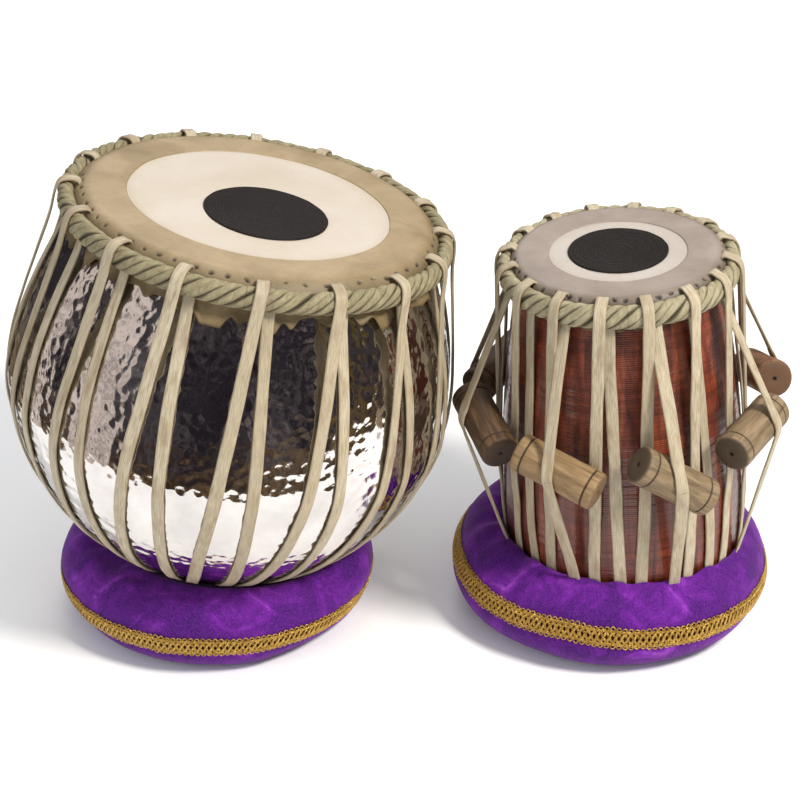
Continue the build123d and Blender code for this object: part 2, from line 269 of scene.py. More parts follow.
def ribbon(mesh, path, normals, width, thickness, seed, start=0.0):
    """A flat strap with rounded edges along a path, slightly uneven, as cut by hand."""
    along = start + lengths(path)
    tangent = unit(np.gradient(path, axis=0))
    side = unit(np.cross(tangent, normals))
    normal = np.cross(side, tangent)
    turns = along / 300
    wide = width / 2 * (1 + 0.055 * wobble(turns, seed, 1, 9))
    shift = 0.35 * wobble(turns, seed + 1, 1, 6)
    twist = 0.07 * wobble(turns, seed + 2, 1, 6)
    section = np.array(STRAP_SECTION)
    s = section[None, :, 0] * wide[:, None] + shift[:, None]
    h = section[None, :, 1] * thickness / 2 + s * twist[:, None] * 0.5
    points = path[:, None] + side[:, None] * s[..., None] + normal[:, None] * h[..., None]
    mesh.grid(
        points,
        wrap_v=True,
        caps=True,
        across=section[None, :, 0],
        along=along[:, None] + 37.0 * (seed % 91),
        tone=random.Random(seed).random(),
    )


def drum_strap(mesh, path, top, foot, width, thickness, seed):
    """A strap down a drum on a section path, swinging from one azimuth to another."""
    along = unit(np.gradient(path, axis=0))
    azimuth = top + (foot - top) * np.linspace(0, 1, len(path))
    points = swung(path[:, 0], path[:, 1], azimuth)
    normals = swung(-along[:, 1], along[:, 0], azimuth)
    ribbon(mesh, points, normals, width, thickness, seed)


def over_rope(hole_path, rope):
    """The path of a strap out of its hole in the skin and over the rim."""
    r, z, half_width, half_height = rope
    angles = np.radians(np.linspace(88, 8, 5))
    return hole_path + [(r + half_width * cos(a), z + half_height * sin(a)) for a in angles]


def strand(mesh, azimuth, phase, rope, core, uneven, sides, tone):
    """One leather strand of a rope round a drum. core is how far out its middle runs, as shares of
    the rope's half width and half height, and its own fatness takes up the rest."""
    r, z, half_width, half_height = rope
    t = np.linspace(0, 2 * pi, sides, endpoint=False)
    middle_r = (r + core[0] * half_width * np.cos(phase))[:, None]
    middle_z = (z + core[1] * half_height * np.sin(phase))[:, None]
    mesh.grid(
        swung(
            middle_r + (1 - core[0]) * half_width * uneven * np.cos(t),
            middle_z + (1 - core[1]) * half_height * uneven * np.sin(t),
            azimuth[:, None],
        ),
        wrap_u=True,
        wrap_v=True,
        across=np.cos(t - phase[:, None]),
        along=azimuth[:, None] * radians(1) * r,
        tone=tone,
    )


def twisted_rim(drum, finish, rope, turns, strands=5):
    """A rim of leather strands twisted round each other."""
    mesh = Mesh()
    azimuth = around(turns * 36)
    for k in range(strands):
        slack = 0.28 * wobble(azimuth / 360, 60 + k, 2, 16)
        phase = np.radians(azimuth) * turns + k * 2 * pi / strands + slack
        uneven = 1 + 0.07 * wobble(azimuth / 360, 40 + k, 3, 30)[:, None]
        strand(mesh, azimuth, phase, rope, (0.33, 0.47), uneven, 14, 0.25 * k + 0.1)
    on_drum(mesh, drum, "twisted_rim", finish, "rim_leather", "rim_braid")


# ================================================================ materials
def linear(code):
    """A colour as linear numbers, from six hexadecimal digits."""
    parts = [int(code[i : i + 2], 16) / 255 for i in (0, 2, 4)]
    return (*[c / 12.92 if c <= 0.04045 else ((c + 0.055) / 1.055) ** 2.4 for c in parts], 1)


class Finish:
    """A material's node tree, with short calls for the nodes that it needs."""

    def __init__(self, name, **constants):
        self.material = bpy.data.materials.new(name)
        self.material.use_nodes = True
        self.tree = self.material.node_tree
        self.shader = self.tree.nodes["Principled BSDF"]
        for key, value in constants.items():
            self.shader.inputs[key.replace("_", " ")].default_value = value

    def node(self, kind, inputs=None, **settings):
        """A node with its settings, whose inputs are constants or other nodes' outputs."""
        made = self.tree.nodes.new(kind)
        for key, value in settings.items():
            setattr(made, key, value)
        for key, value in (inputs or {}).items():
            if isinstance(value, bpy.types.NodeSocket):
                self.tree.links.new(value, made.inputs[key])
            else:
                made.inputs[key].default_value = value
        return made

    def place(self, scale=(1, 1, 1), turn=(0, 0, 0)):
        """Object coordinates in metres, scaled and turned."""
        coords = self.node("ShaderNodeTexCoord").outputs["Object"]
        inputs = {"Vector": coords, "Scale": scale, "Rotation": turn}
        return self.node("ShaderNodeMapping", inputs).outputs["Vector"]

    def value(self, name):
        return self.node("ShaderNodeAttribute", attribute_name=name).outputs["Fac"]

    def maths(self, operation, a, b=0.0):
        return self.node("ShaderNodeMath", {0: a, 1: b}, operation=operation).outputs[0]

    def strip(self, along, across):
        """Coordinates that follow a strap or strand: its length and its width."""
        x = self.maths("MULTIPLY", self.value("along"), along)
        y = self.maths("MULTIPLY", self.value("across"), across)
        inputs = {"X": x, "Y": y, "Z": self.value("tone")}
        return self.node("ShaderNodeCombineXYZ", inputs).outputs[0]

    def noise(self, scale, detail=3.0, rough=0.55, distortion=0.0, at=None):
        """Soft noise at the given coordinates, or else at object coordinates."""
        vector = self.place() if at is None else at
        inputs = {"Vector": vector, "Scale": scale, "Detail": detail}
        inputs.update(Roughness=rough, Distortion=distortion)
        return self.node("ShaderNodeTexNoise", inputs).outputs["Fac"]

    def cells(self, scale, feature, **inputs):
        inputs.update(Vector=self.place(), Scale=scale)
        return self.node("ShaderNodeTexVoronoi", inputs, feature=feature).outputs["Distance"]

    def waves(self, kind, direction, scale, distortion):
        """Bands along an axis, or rings round it."""
        inputs = {"Vector": self.place(), "Scale": scale, "Distortion": distortion, "Detail": 3.0}
        inputs["Detail Scale"] = 1.5
        settings = {"wave_type": kind, f"{kind.lower()}_direction": direction}
        return self.node("ShaderNodeTexWave", inputs, **settings).outputs["Fac"]

    def ramp(self, factor, *stops):
        """A colour ramp from (position, colour or number) stops."""
        made = self.node("ShaderNodeValToRGB", {"Fac": factor})
        elements = made.color_ramp.elements
        while len(elements) < len(stops):
            elements.new(0.5)
        for element, (position, shade) in zip(elements, stops):
            element.position = position
            element.color = linear(shade) if isinstance(shade, str) else (shade, shade, shade, 1)
        return made.outputs["Color"]

    def mix(self, factor, a, b):
        """Two colours mixed, each a socket or six hexadecimal digits."""
        a, b = [linear(shade) if isinstance(shade, str) else shade for shade in (a, b)]
        return self.node("ShaderNodeMix", {0: factor, 6: a, 7: b}, data_type="RGBA").outputs[2]

    def tint(self, colour, factor, low, high, amount, shade):
        """A colour that turns to another by an amount, as a factor goes from low to high."""
        return self.mix(self.ramp(factor, (low, 0.0), (high, amount)), colour, shade)

    def bump(self, height, distance, strength=1.0, under=None):
        inputs = {"Height": height, "Distance": distance, "Strength": strength}
        if under is not None:
            inputs["Normal"] = under
        return self.node("ShaderNodeBump", inputs).outputs["Normal"]

    def done(self, colour=None, roughness=None, normal=None):
        for key, socket in (("Base Color", colour), ("Roughness", roughness), ("Normal", normal)):
            if socket is not None:
                self.tree.links.new(socket, self.shader.inputs[key])
        return self.material


def strap_finish(name, light, deep, stain):
    """Rawhide lacing: long fibres, amber stains here and there, darker cut edges."""
    f = Finish(name, Specular_IOR_Level=0.35)
    fibres = f.noise(5.0, 6.0, 0.65, at=f.strip(0.02, 1.6))
    blotch = f.noise(3.0, 3.0, 0.5, at=f.strip(0.016, 0.25))
    colour = f.ramp(fibres, (0.3, deep), (0.62, light))
    colour = f.tint(colour, blotch, 0.5, 0.74, 0.6, stain)
    colour = f.tint(colour, f.maths("ABSOLUTE", f.value("across")), 0.8, 1.0, 0.75, deep)
    colour = f.mix(f.maths("MULTIPLY", f.value("tone"), 0.4), colour, deep)
    rough = f.ramp(fibres, (0.25, 0.42), (0.75, 0.62))
    normal = f.bump(fibres, 0.0004, 0.6)
    return f.done(colour, rough, normal)


def rim_finish(name, light, deep, crease_shade):
    """Twisted leather strands: dry ridges on top, with shade painted dark where they meet."""
    f = Finish(name, Specular_IOR_Level=0.3)
    fibres = f.noise(3.2, 6.0, 0.7, at=f.strip(0.09, 1.3))
    patch = f.noise(55.0, 4.0)
    colour = f.ramp(fibres, (0.3, deep), (0.68, light))
    colour = f.tint(colour, patch, 0.45, 0.72, 0.5, deep)
    # Painted shade: the side of each strand that faces the others is darkened towards the shade colour.
    shade = f.ramp(f.value("across"), (0.0, 1.0), (0.35, 0.85), (0.72, 0.0))
    colour = f.mix(shade, colour, crease_shade)
    rough = f.ramp(fibres, (0.3, 0.5), (0.8, 0.75))
    normal = f.bump(fibres, 0.0009, 0.8)
    return f.done(colour, rough, normal)


def skin_finish(name, light, deep, stain, mottle, grain=0.25, hole="2a2018"):
    """Drum skin: soft clouds, fine pores and hair marks; a point attribute paints shade dark into the
    lacing holes.
    """
    f = Finish(name, Specular_IOR_Level=0.4, Subsurface_Weight=0.06)
    f.shader.inputs["Subsurface Radius"].default_value = (0.004, 0.003, 0.002)
    clouds = f.noise(mottle, 5.0, 0.6, 0.4)
    fine = f.noise(420.0, 4.0, 0.7)
    hair = f.noise(160.0, 4.0, 0.7, at=f.place((1, 6, 1), (0, 0, 0.6)))
    colour = f.ramp(clouds, (0.28, deep), (0.66, light))
    colour = f.tint(colour, hair, 0.5, 0.78, grain, stain)
    colour = f.tint(colour, fine, 0.5, 0.9, grain * 0.8, deep)
    # The stain colour is mixed in as grime, and as painted shade on the edge skin's shoulder.
    colour = f.mix(f.value("dirt"), colour, stain)
    colour = f.mix(f.value("hole"), colour, hole)
    rough = f.ramp(clouds, (0.3, 0.46), (0.75, 0.62))
    normal = f.bump(fine, 0.0003, 0.5, f.bump(hair, 0.0004, 0.35))
    return f.done(colour, rough, normal)


def paste_finish(name, light, deep):
    """Dried iron-filing paste, rubbed on in rings."""
    f = Finish(name, Specular_IOR_Level=0.14)
    speck = f.noise(900.0, 3.0, 0.7)
    clouds = f.noise(60.0, 3.0)
    cracks = f.cells(700.0, "DISTANCE_TO_EDGE")
    colour = f.ramp(speck, (0.35, deep), (0.75, light))
    colour = f.tint(colour, clouds, 0.4, 0.7, 0.4, deep)
    rough = f.ramp(clouds, (0.3, 0.38), (0.7, 0.56))
    normal = f.bump(f.ramp(cracks, (0.0, 0.0), (0.08, 1.0)), 0.00012, 0.7)
    normal = f.bump(speck, 0.00015, 0.5, normal)
    return f.done(colour, rough, normal)


def varnished_wood():
    """Red-brown varnished shell, with long grain down the drum and turning marks round it."""
    coat = {"Coat_Weight": 0.55, "Coat_Roughness": 0.12, "Coat_IOR": 1.5}
    f = Finish("varnished_wood", Specular_IOR_Level=0.5, **coat)
    grain = f.noise(16.0, 7.0, 0.62, 1.2, at=f.place((7, 7, 0.55)))
    streak = f.noise(14.0, 5.0, 0.7, at=f.place((30, 30, 1.4)))
    turning = f.waves("BANDS", "Z", 210.0, 1.2)
    colour = f.ramp(grain, (0.26, "2c100a"), (0.42, "5c2415"), (0.56, "7f3720"), (0.76, "a2582f"))
    colour = f.tint(colour, streak, 0.52, 0.75, 0.45, "2c0f0a")
    bands = f.noise(9.0, 3.0, at=f.place((0.6, 0.6, 24)))
    colour = f.tint(colour, bands, 0.48, 0.66, 0.5, "3a150c")
    colour = f.tint(colour, turning, 0.55, 1.0, 0.35, "431509")
    rough = f.ramp(streak, (0.3, 0.26), (0.7, 0.42))
    normal = f.bump(turning, 0.0004, 0.5, f.bump(streak, 0.0004, 0.4))
    return f.done(colour, rough, normal)


def dowel_finish(name, light, middle, deep, end):
    """A turned dowel with its grain along it, darker end grain, and shade painted dark into its grooves and
    centre marks.
    """
    f = Finish(name, Specular_IOR_Level=0.32)
    grain = f.noise(26.0, 7.0, 0.6, 0.6, at=f.place((1.2, 9, 9)))
    pores = f.noise(20.0, 3.0, 0.7, at=f.place((6, 60, 60)))
    rings = f.waves("RINGS", "X", 330.0, 3.0)
    colour = f.ramp(grain, (0.27, deep), (0.5, middle), (0.72, light))
    colour = f.tint(colour, pores, 0.56, 0.75, 0.55, deep)
    dark_end = f.mix(rings, end, deep)
    colour = f.mix(f.value("end"), colour, dark_end)
    colour = f.mix(f.value("hole"), colour, "2a1c12")
    rough = f.ramp(grain, (0.3, 0.5), (0.7, 0.68))
    normal = f.bump(pores, 0.0003, 0.5)
    return f.done(colour, rough, normal)


def chrome_finish():
    """Hammered chrome: polished, with fine dents between the modelled ones and a faint haze."""
    f = Finish("hammered_chrome", Metallic=1.0)
    haze = f.noise(26.0, 5.0, 0.6)
    colour = f.ramp(haze, (0.3, "cfcbc9"), (0.7, "e9e6e3"))
    rough = f.ramp(haze, (0.35, 0.045), (0.7, 0.13))
    dents = f.cells(150.0, "SMOOTH_F1", Smoothness=0.35)
    ripple = f.noise(330.0, 2.0, 0.5)
    normal = f.bump(dents, 0.0011, 0.45, f.bump(ripple, 0.0003, 0.35))
    return f.done(colour, rough, normal)


def velvet_finish():
    """Purple velvet, with patches where the nap lies the other way, their light and dark partly painted
    sheen.
    """
    f = Finish("purple_velvet", Specular_IOR_Level=0.12, Sheen_Weight=0.4, Sheen_Roughness=0.35)
    f.shader.inputs["Sheen Tint"].default_value = linear("cf96dc")
    nap = f.noise(34.0, 5.0, 0.62, 0.9, at=f.place((1, 1.5, 1)))
    fine = f.noise(900.0, 4.0, 0.7)
    brush = f.noise(120.0, 5.0, 0.7, at=f.place((3, 1, 2), (0, 0, 0.5)))
    nap_lay_sheen = f.noise(15.0, 2.0, 0.5, 0.6, at=f.place((1, 1.3, 1.6)))
    # The nap, lie and speck colours are partly the velvet's own patches and partly painted sheen.
    colour = f.ramp(nap, (0.3, "310852"), (0.46, "4d106d"), (0.58, "6b1f8d"), (0.72, "9a48b8"))
    colour = f.mix(f.ramp(nap_lay_sheen, (0.36, 0.75), (0.56, 0.0)), colour, "2f0750")
    colour = f.tint(colour, brush, 0.45, 0.75, 0.6, "350958")
    colour = f.tint(colour, fine, 0.4, 0.8, 0.45, "8a44b2")
    rough = f.ramp(nap, (0.3, 0.75), (0.7, 0.95))
    normal = f.bump(fine, 0.0006, 0.6, f.bump(brush, 0.0012, 0.5))
    return f.done(colour, rough, normal)


def gold_finish(name, light, deep, rough_low=0.28):
    """Metallic gold thread, flecked light and dark: partly the thread's own uneven tone, partly painted
    glints.
    """
    f = Finish(name, Metallic=0.85)
    tone = f.noise(520.0, 4.0, 0.8)
    wind = f.noise(2600.0, 2.0, 0.6)
    colour = f.ramp(tone, (0.32, deep), (0.68, light))
    rough = f.ramp(wind, (0.3, rough_low), (0.7, rough_low + 0.25))
    normal = f.bump(wind, 0.0004, 0.9)
    return f.done(colour, rough, normal)


def plain_fibre(name, light, deep, scale):
    """Dry undyed skin or fibre, such as the lining inside a drum."""
    f = Finish(name, Specular_IOR_Level=0.2)
    tone = f.noise(scale, 5.0, 0.7)
    colour = f.ramp(tone, (0.3, deep), (0.7, light))
    rough = f.ramp(tone, (0.3, 0.7), (0.7, 0.9))
    return f.done(colour, rough, f.bump(tone, 0.0006, 0.6))


materials = {
    "strap": strap_finish("rawhide_strap", "c6baa0", "8c7c62", "7d6240"),
    "bass_rim": rim_finish("bass_rim_leather", "a39877", "70664a", "382f1e"),
    "treble_rim": rim_finish("treble_rim_leather", "b0a688", "7f7558", "3f3723"),
    "ring": rim_finish("ring_leather", "a89a76", "75684a", "2e2719"),
    "bass_skin": skin_finish("bass_head_skin", "c3b8ab", "b9ac99", "a08f73", 16.0, 0.16),
    "treble_skin": skin_finish("treble_head_skin", "b5aca3", "aa9f94", "978978", 16.0, 0.14),
    "bass_edge": skin_finish("bass_edge_skin", "a48f6f", "84714f", "574a30", 24.0, 0.4),
    "treble_edge": skin_finish("treble_edge_skin", "988a80", "7f7167", "564b38", 22.0, 0.3),
    "skirt": skin_finish("skin_skirt", "a08a60", "74603c", "483822", 60.0, 0.45),
    "bass_paste": paste_finish("bass_tuning_paste", "2b2422", "171312"),
    "treble_paste": paste_finish("treble_tuning_paste", "29231f", "141110"),
    "wood": varnished_wood(),
    "chrome": chrome_finish(),
    "velvet": velvet_finish(),
    "gold": gold_finish("gold_thread", "f2cc70", "8a5a1a", 0.16),
    "gold_back": gold_finish("gold_backing", "5a3510", "2a1607", 0.4),
    "lining": plain_fibre("lining_skin", "d8c8a4", "a08e68", 90.0),
}
woods = {
    "dark": dowel_finish("dark_dowel_wood", "74593c", "523c29", "2f2217", "3a2b1d"),
    "light": dowel_finish("light_dowel_wood", "a08562", "876d4b", "614b33", "7d6243"),
    "grey": dowel_finish("grey_dowel_wood", "9c8668", "7f6b50", "554534", "41352a"),
    "red": dowel_finish("red_dowel_wood", "957050", "79553a", "523824", "6a4d36"),
}


# ================================================================ where the drums stand
def middle(node):
    low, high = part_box(node)
    return (low + high) / 2


def drum_place(drum, depth):
    """The frame of a drum: the head's centre, depth above the rim's, and Z along the axis."""
    rim = middle(f"{drum}_rim_braid")
    axis = (rim - middle(f"{drum}_bottom_ring")).normalized()
    place = Vector((0, 0, 1)).rotation_difference(axis).to_matrix().to_4x4()
    place.translation = rim + axis * depth * MM
    return place


treble_place = drum_place("dayan", treble_braid_depth)
bass_place = drum_place("bayan", bass_braid_depth)


def on_drum(mesh, drum, piece, finish, slot, *nodes, weld=False):
    """Makes a piece that rides on a drum and stands for some of that drum's CAD nodes."""
    fixed = drum == "bayan"
    place = bass_place if fixed else treble_place
    obj = mesh.make(f"{drum}_{piece}", materials[finish], place, weld, fixed)
    if nodes:
        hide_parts(*[f"{drum}_{node}" for node in nodes])
    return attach(obj, f"{drum}_drum")


# ================================================================ heads
SKIN_DEPTH = -0.85  # the pale skin lies this far under the edge skin's top


def pale_skin(drum, finish, opening):
    """The main skin where it shows, a little dirty where the edge skin begins."""
    mesh = Mesh()
    radii = np.r_[0.0, np.linspace(3, opening + 5, 26)]
    points = lathe_points(np.stack([radii, np.full_like(radii, SKIN_DEPTH)], 1), around(180))
    points[..., 2] += 0.07 * wobble(np.hypot(points[..., 0], points[..., 1]) / 90, 5, 1, 4)
    mesh.grid(points, wrap_u=True, dirt=np.clip((radii - opening + 9) / 9, 0, 1)[None, :] ** 2 * 0.25)
    on_drum(mesh, drum, "pale_skin", finish, "head_skin", "head_skin", weld=True)


def edge_skin(drum, finish, slot, opening, shoulder, hole_radius, holes, columns):
    """The ring of skin round the head, bent down at its shoulder, with a row of lacing holes.

    shoulder is the radius where the bend starts, the bend's own radius and its angle in degrees.
    """
    mesh = Mesh()
    azimuth = around(columns)
    flat_end, bend, bend_angle = shoulder
    r = np.r_[opening, opening + 0.25, np.linspace(opening + 0.8, flat_end, 34)]
    z = np.r_[SKIN_DEPTH, -0.25, np.full(34, 0.0)]
    curl = np.radians(np.linspace(0, bend_angle, 24))[1:]
    r = np.r_[r, flat_end + bend * np.sin(curl)]
    z = np.r_[z, -bend * (1 - np.cos(curl))]
    points = lathe_points(np.stack([r, z], 1), azimuth)
    turns = (azimuth / 360)[:, None]
    reach = np.clip((r - opening) / (r[-1] - opening), 0, 1)[None, :]
    inner = np.clip(1 - reach * 6, 0, 1)
    points[..., :2] *= (1 + inner * 0.004 * wobble(turns, 71, 2, 14))[..., None]
    points[..., 2] += 0.22 * reach**3 * wobble(turns, 72, 6, 60)
    # The lacing holes are pressed in and painted dark as shade.
    hole = np.zeros(points.shape[:2])
    turn = random.Random(len(drum) + holes)
    for k in range(holes):
        centre = 360 * (k + turn.uniform(-0.16, 0.16)) / holes
        radius = hole_radius + turn.uniform(-0.9, 0.9)
        tangential = ((azimuth[:, None] - centre + 180) % 360 - 180) * radians(1) * radius
        slant = tangential - (r[None, :] - radius) * turn.uniform(-0.5, 0.9)
        size = turn.uniform(1.1, 2.3)
        near = (slant / size) ** 2 + ((r[None, :] - radius) / turn.uniform(0.8, 1.3)) ** 2
        hole = np.maximum(hole, np.exp(-(near**2)))
    points[..., 2] -= 1.5 * hole
    # Painted shade darkens the shoulder, where the skin bends down under the rim; the wobble adds patches
    # of grime.
    dirt = np.clip(reach - 0.72, 0, 1) * 2.4 + 0.18 * np.clip(wobble(turns, 73, 3, 30), 0, 1) * reach
    mesh.grid(points, wrap_u=True, hole=hole, dirt=np.clip(dirt, 0, 0.75))
    on_drum(mesh, drum, "edge_skin_top", finish, slot, "edge_skin")


def paste_disc(drum, finish, paste_radius, offset):
    """The domed black disc, rubbed in rings, with an uneven edge."""
    mesh = Mesh()
    radii = np.r_[0.0, np.linspace(0.6, paste_radius - 0.5, 110), paste_radius - 0.15, paste_radius]
    dome = 0.8 - 0.9 * (radii / paste_radius) ** 2 * 0.35
    rubbed = 0.07 * np.sin(radii * 2 * pi / 2.3) + 0.05 * np.sin(radii * 2 * pi / 5.1 + 1.0)
    z = dome + rubbed * np.clip((paste_radius - radii) / 3, 0, 1)
    z[-2:] = (0.15, -0.82)
    azimuth = around(240)
    points = lathe_points(np.stack([radii, z], 1), azimuth)
    outer = (radii / paste_radius)[None, :] ** 8
    points[..., :2] *= (1 + 0.006 * outer * wobble((azimuth / 360)[:, None], 81, 2, 18))[..., None]
    points += np.array([*offset, 0.0])
    mesh.grid(points, wrap_u=True)
    on_drum(mesh, drum, "paste_disc", finish, "black_paste", "tuning_paste", weld=True)


def skirt(drum, wall, low, high, curl, seed):
    """The torn lower edge of the skins, showing under the rim and curling away from the drum."""
    mesh = Mesh()
    azimuth = around(720)
    turns = azimuth / 360
    tear = wobble(turns, seed, 4, 40) + 0.6 * wobble(turns, seed + 1, 20, 90)
    bottom = (low + high) / 2 + (low - high) / 2 * np.clip(tear * 0.8, -1, 1)
    share = np.linspace(0, 1, 12)
    top = wall[0][1] - 6
    z = top + (bottom[:, None] - top) * share[None, :]
    r = np.interp(-z, [-p[1] for p in wall], [p[0] for p in wall])
    flare = curl * (0.45 + 0.55 * wobble(turns, seed + 2, 5, 34))[:, None]
    outside = r + 0.9 + np.clip(flare, 0.1, None) * share[None, :] ** 3
    outside = outside + 0.5 * wobble(turns, seed + 3, 12, 70)[:, None] * share[None, :]
    faces = [swung(side, z, azimuth[:, None]) for side in (outside, outside - 0.75)]
    both = np.concatenate([faces[0], faces[1][:, ::-1]], 1)
    # The skirt's colour darkens towards its torn lower edge.
    mesh.grid(both, wrap_u=True, wrap_v=True, dirt=np.concatenate([share, share[::-1]])[None, :] * 0.6)
    on_drum(mesh, drum, "skin_skirt", "skirt", "head_skin")


pale_skin("bayan", "bass_skin", bass_opening)
edge_skin("bayan", "bass_edge", "bass_edge_skin", bass_opening, (110.0, 15.0, 60), 118.8, 62, 900)
paste_disc("bayan", "bass_paste", 41.7, (5.0, -16.0))
pale_skin("dayan", "treble_skin", treble_opening)
edge_skin("dayan", "treble_edge", "treble_edge_skin", treble_opening, (65.5, 7.0, 86), 70.4, 44, 720)
paste_disc("dayan", "treble_paste", 33.6, (0.0, 0.0))
skirt("bayan", bowl_wall, -35.0, -24.0, 4.2, 300)
skirt("dayan", [treble_lip] + treble_wall, -25.5, -21.0, 0.8, 310)

twisted_rim("bayan", "bass_rim", bass_rope, 18)
twisted_rim("dayan", "treble_rim", treble_rope, 11)
for drum in ("bayan", "dayan"):
    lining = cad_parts[f"{drum}_inner_lining"]
    lining.data.materials.clear()
    lining.data.materials.append(materials["lining"])


# ================================================================ bass bowl
def bowl_bottom(*depths):
    """Points on the bowl's round bottom, at depths under its widest level."""
    return [(sqrt(bowl_radius**2 - d**2), bowl_centre - d) for d in depths]


def hammer_marks(points, spacing, seed):
    """How deep each point lies in the dish of its nearest hammer blow, from 0 to 1."""
    r = random.Random(seed)
    flat = points.reshape(-1, 3)
    rows = points[0]
    length = lengths(rows)
    radii = np.hypot(rows[:, 0], rows[:, 1])
    blows = []
    at = 0.0
    while at < length[-1]:
        radius = np.interp(at, length, radii)
        height = np.interp(at, length, rows[:, 2])
        count = max(6, int(2 * pi * radius / spacing))
        start = r.random()
        for k in range(count):
            azimuth = 360 * (k + start + r.uniform(-0.3, 0.3)) / count
            lift = r.uniform(-0.3, 0.3) * spacing
            blows.append((swung(radius, height + lift, azimuth), r.uniform(0.7, 1.15)))
        at += spacing * 0.86
    tree = KDTree(len(blows))
    for i, (blow, _) in enumerate(blows):
        tree.insert(blow, i)
    tree.balance()
    depth = np.zeros(len(flat))
    for i, point in enumerate(flat):
        best = 9.0
        for _, which, distance in tree.find_n(point, 3):
            best = min(best, (distance / (spacing * 0.62)) ** 2 - (blows[which][1] - 1) * 0.5)
        depth[i] = 1 - min(best, 1.0)
    return depth.reshape(points.shape[:2])


def bowl():
    """The hammered bowl, with its lip inside the head and its flat bottom closed."""
    mesh = Mesh()
    section = smooth_path(bowl_wall + bowl_bottom(26.2, 40, 60, 80, 100, 116, 130, 140, bowl_flat), 190)
    keep = section[:, 1] > bowl_centre - 122
    lip = [(112.5, -9.5), (113.2, -6.6), (115.6, -5.2), (117.4, -6.4)]
    floor = [(30.0, bowl_centre - bowl_flat), (0.0, bowl_centre - bowl_flat)]
    outside = np.vstack([lip, section[keep], section[~keep][::5], floor])
    azimuth = around(560)
    points = lathe_points(outside, azimuth)
    strength = np.interp(outside[:, 1], [-200, -30, -24], [1, 1, 0])[None, :]
    inward = 0.42 * hammer_marks(points, 9.0, 21) * strength
    along = unit(np.gradient(outside, axis=0))
    points -= swung(-along[None, :, 1], along[None, :, 0], azimuth[:, None]) * inward[..., None]
    mesh.grid(points, wrap_u=True)
    on_drum(mesh, "bayan", "hammered_bowl", "chrome", "chrome", "bowl", weld=True)


bowl()


# ================================================================ treble shell
def foot_corner(*angles):
    """Points round the rounded corner of the treble shell's foot."""
    r, z = treble_foot
    return [(r + 6 * cos(a), z + 6 * sin(a)) for a in np.radians(angles)]


def treble_shell():
    """The turned shell, faintly ridged outside, with its hollow inside."""
    mesh = Mesh()
    wall = smooth_path([treble_lip] + treble_wall + [(78.3, treble_foot[1])], 210)
    turned = 0.11 * np.sin(wall[:, 1] * 2 * pi / 3.1) + 0.07 * np.sin(wall[:, 1] * 2 * pi / 7.7)
    wall[:, 0] += np.where(wall[:, 1] < -28, turned, 0)
    inside = [(58.0, -3.6), (56.0, -6.0), (58.0, -90.0), (60.5, -175.0), (52.0, -194.0), (30.0, -198.0)]
    base = [(0.0, treble_base), (60.0, treble_base)]
    corner = foot_corner(-90, -75, -55, -35, -15)
    section = np.vstack([base, corner, wall[::-1], inside, [(0.0, -198.0)]])
    mesh.grid(lathe_points(section, around(240)), wrap_u=True)
    on_drum(mesh, "dayan", "turned_shell", "wood", "varnished_wood", "shell", weld=True)


treble_shell()


# ================================================================ straps
def bass_straps():
    """Taut runs from the rim to the bowl, and runs from under the rim that lie on the bowl."""
    foot = bowl_bottom(28, 48, 68, 86, 102, 118, 130, 140, 144.6)
    foot += [(44.0, bowl_centre - bowl_flat - 0.1), (35.0, bowl_centre - bowl_flat - 0.1)]
    taut = over_rope(bass_hole_path, bass_rope)
    taut += [(bass_strap_start, -26), (141.2, -58), (147.4, -90), (151.7, -120)]
    lying = [(123.6, -15), (126.8, -29), (131.8, -44), (139.3, -66), (146.6, -92), (151.3, -122)]
    outer_path = lifted(smooth_path(taut + foot, 190), 0.3 + strap_thickness / 2)
    inner_path = lifted(smooth_path(lying + foot, 170), 0.15 + strap_thickness / 2)
    outer, inner = Mesh(), Mesh()
    for i in range(loops):
        r = random.Random(500 + i)
        top = bass_phase + i * loop_step + r.uniform(-0.5, 0.5)
        outer_width = strap_width * r.uniform(0.82, 0.93)
        inner_width = strap_width * r.uniform(0.8, 0.92)
        foot_azimuth = top + bass_outer_lean + r.uniform(-0.7, 0.7)
        drum_strap(outer, outer_path, top, foot_azimuth, outer_width, strap_thickness, 1000 + i)
        start = top + first_shift
        foot_azimuth = start + bass_inner_lean + r.uniform(-0.7, 0.7)
        drum_strap(inner, inner_path, start, foot_azimuth, inner_width, strap_thickness * 0.9, 1100 + i)
    on_drum(outer, "bayan", "outer_lacing", "strap", "strap_rawhide", "outer_straps", "bottom_loops")
    on_drum(inner, "bayan", "inner_lacing", "strap", "strap_rawhide", "inner_straps")


def treble_foot_path():
    """The end of every treble strap: round the corner of the foot and in under the base."""
    return foot_corner(-5, -30, -60, -90) + [(58.0, treble_base), (46.0, treble_base)]


